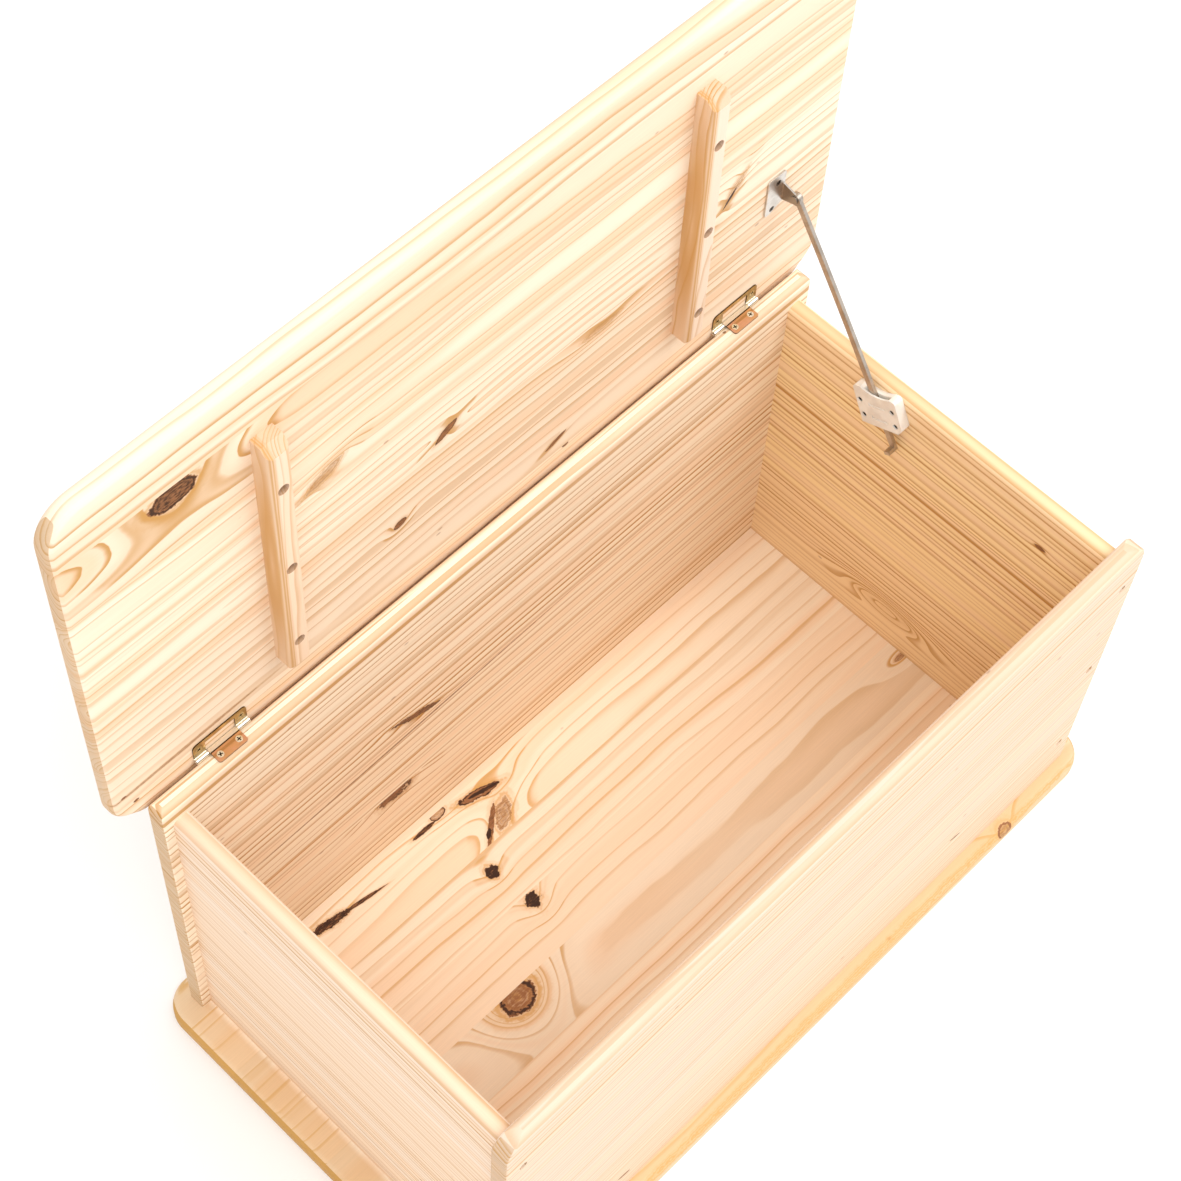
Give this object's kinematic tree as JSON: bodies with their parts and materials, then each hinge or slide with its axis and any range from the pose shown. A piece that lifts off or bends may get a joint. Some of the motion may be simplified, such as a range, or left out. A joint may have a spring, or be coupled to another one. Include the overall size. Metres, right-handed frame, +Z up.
{
  "type": "storage chest",
  "caption": "Solid pine storage chest with an overhanging hinged lid on flush hinges, lid battens and a sliding lid stay.",
  "frame": {"origin": "middle of the walls' footprint on the floor, in the base board's underside", "axes": "+Z up, +X along the length towards the end with the lid stay, -Y towards the front; the lid stands open at rest"},
  "size_m": [0.85, 0.4561, 0.8747],
  "materials": {
    "pine": "planed and lightly sealed",
    "pine_batten": "planed and lightly sealed",
    "yellow_zinc": "yellow passivated steel",
    "screw_zinc": "bright zinc",
    "stay_steel": "rolled strip, bright zinc",
    "nylon": "natural white nylon"
  },
  "bodies": {
    "chest": {"base_board": "pine", "front_board": "pine", "back_board": "pine", "left_end_board": "pine", "right_end_board": "pine", "front_board_screws": "screw_zinc", "back_board_screws": "screw_zinc", "base_screws": "screw_zinc", "left_hinge_chest_leaf": "yellow_zinc", "right_hinge_chest_leaf": "yellow_zinc", "left_hinge_pin": "yellow_zinc", "right_hinge_pin": "yellow_zinc", "hinge_chest_screws": "screw_zinc", "stay_guide": "nylon", "stay_guide_screws": "screw_zinc"},
    "lid": {"lid_board": "pine", "left_lid_batten": "pine_batten", "right_lid_batten": "pine_batten", "batten_screws": "screw_zinc", "left_hinge_lid_leaf": "yellow_zinc", "right_hinge_lid_leaf": "yellow_zinc", "hinge_lid_screws": "screw_zinc", "stay_bracket": "stay_steel", "stay_bracket_screws": "screw_zinc", "stay_rivet": "stay_steel"},
    "stay": {"stay_arm": "stay_steel"}
  },
  "joints": [
    {"name": "lid_hinge", "type": "hinge", "parent": "chest", "child": "lid", "pos_m": [0, 0.2103, 0.4264], "axis": [1, 0, 0], "range_deg": [-14, 90]},
    {"name": "stay_pivot", "type": "hinge", "parent": "lid", "child": "stay", "pos_m": [0.3604, 0.1972, 0.5682], "axis": [1, 0, 0], "range_deg": [-49, 8]}
  ],
  "couplings": [
    {"joint": "stay_pivot", "follows": "lid_hinge", "ratio": -0.536}
  ]
}
